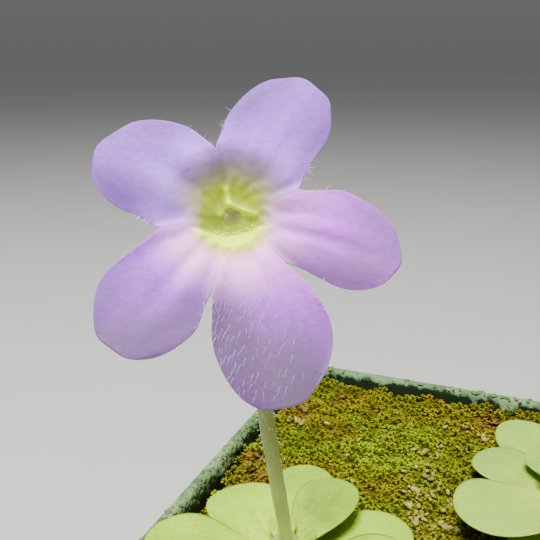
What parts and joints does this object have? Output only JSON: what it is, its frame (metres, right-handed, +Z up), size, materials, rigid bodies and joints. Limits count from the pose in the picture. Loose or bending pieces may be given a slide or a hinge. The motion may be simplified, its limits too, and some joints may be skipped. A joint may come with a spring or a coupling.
{
  "type": "potted butterwort",
  "caption": "Flowering butterwort: a lilac lobed flower on a leaning scape over rosettes of fleshy leaves, in moss in a square plastic pot.",
  "frame": {"origin": "centre of the pot's flat underside", "axes": "+Z up along the pot's own axis; +X and +Y square to the pot's sides; the flower leans out towards -Y and faces between -Y and +X"},
  "size_m": [0.09, 0.1082, 0.1522],
  "materials": {
    "pot": "satin dark green plastic with a pale mineral crust on its rim",
    "potting_mix": "coarse, damp and matte",
    "moss": "soft and matte, in fine leafy shoots",
    "stem": "smooth and fleshy",
    "leaf": "waxy and translucent, wet with fine gland droplets",
    "scape": "smooth, with short gland hairs",
    "calyx": "satin, with short gland hairs",
    "petal": "velvety and translucent, finely veined",
    "pistil": "soft and matte",
    "stamen": "soft and matte"
  },
  "bodies": {
    "root": {"pot": "pot", "potting_mix": "potting_mix", "moss_carpet": "moss", "left_crown": "stem", "right_crown": "stem", "left_leaf_01": "leaf", "left_leaf_02": "leaf", "left_leaf_03": "leaf", "left_leaf_04": "leaf", "left_leaf_05": "leaf", "left_leaf_06": "leaf", "left_leaf_07": "leaf", "left_leaf_08": "leaf", "left_leaf_09": "leaf", "left_leaf_10": "leaf", "left_leaf_11": "leaf", "left_leaf_12": "leaf", "left_leaf_13": "leaf", "left_leaf_14": "leaf", "right_leaf_01": "leaf", "right_leaf_02": "leaf", "right_leaf_03": "leaf", "right_leaf_04": "leaf", "right_leaf_05": "leaf", "right_leaf_06": "leaf", "right_leaf_07": "leaf", "right_leaf_08": "leaf", "right_leaf_09": "leaf", "right_leaf_10": "leaf", "right_leaf_11": "leaf", "right_leaf_12": "leaf", "scape": "scape", "corolla": "petal", "calyx": "calyx", "pistil": "pistil", "stamen_left": "stamen", "stamen_right": "stamen"}
  },
  "joints": []
}
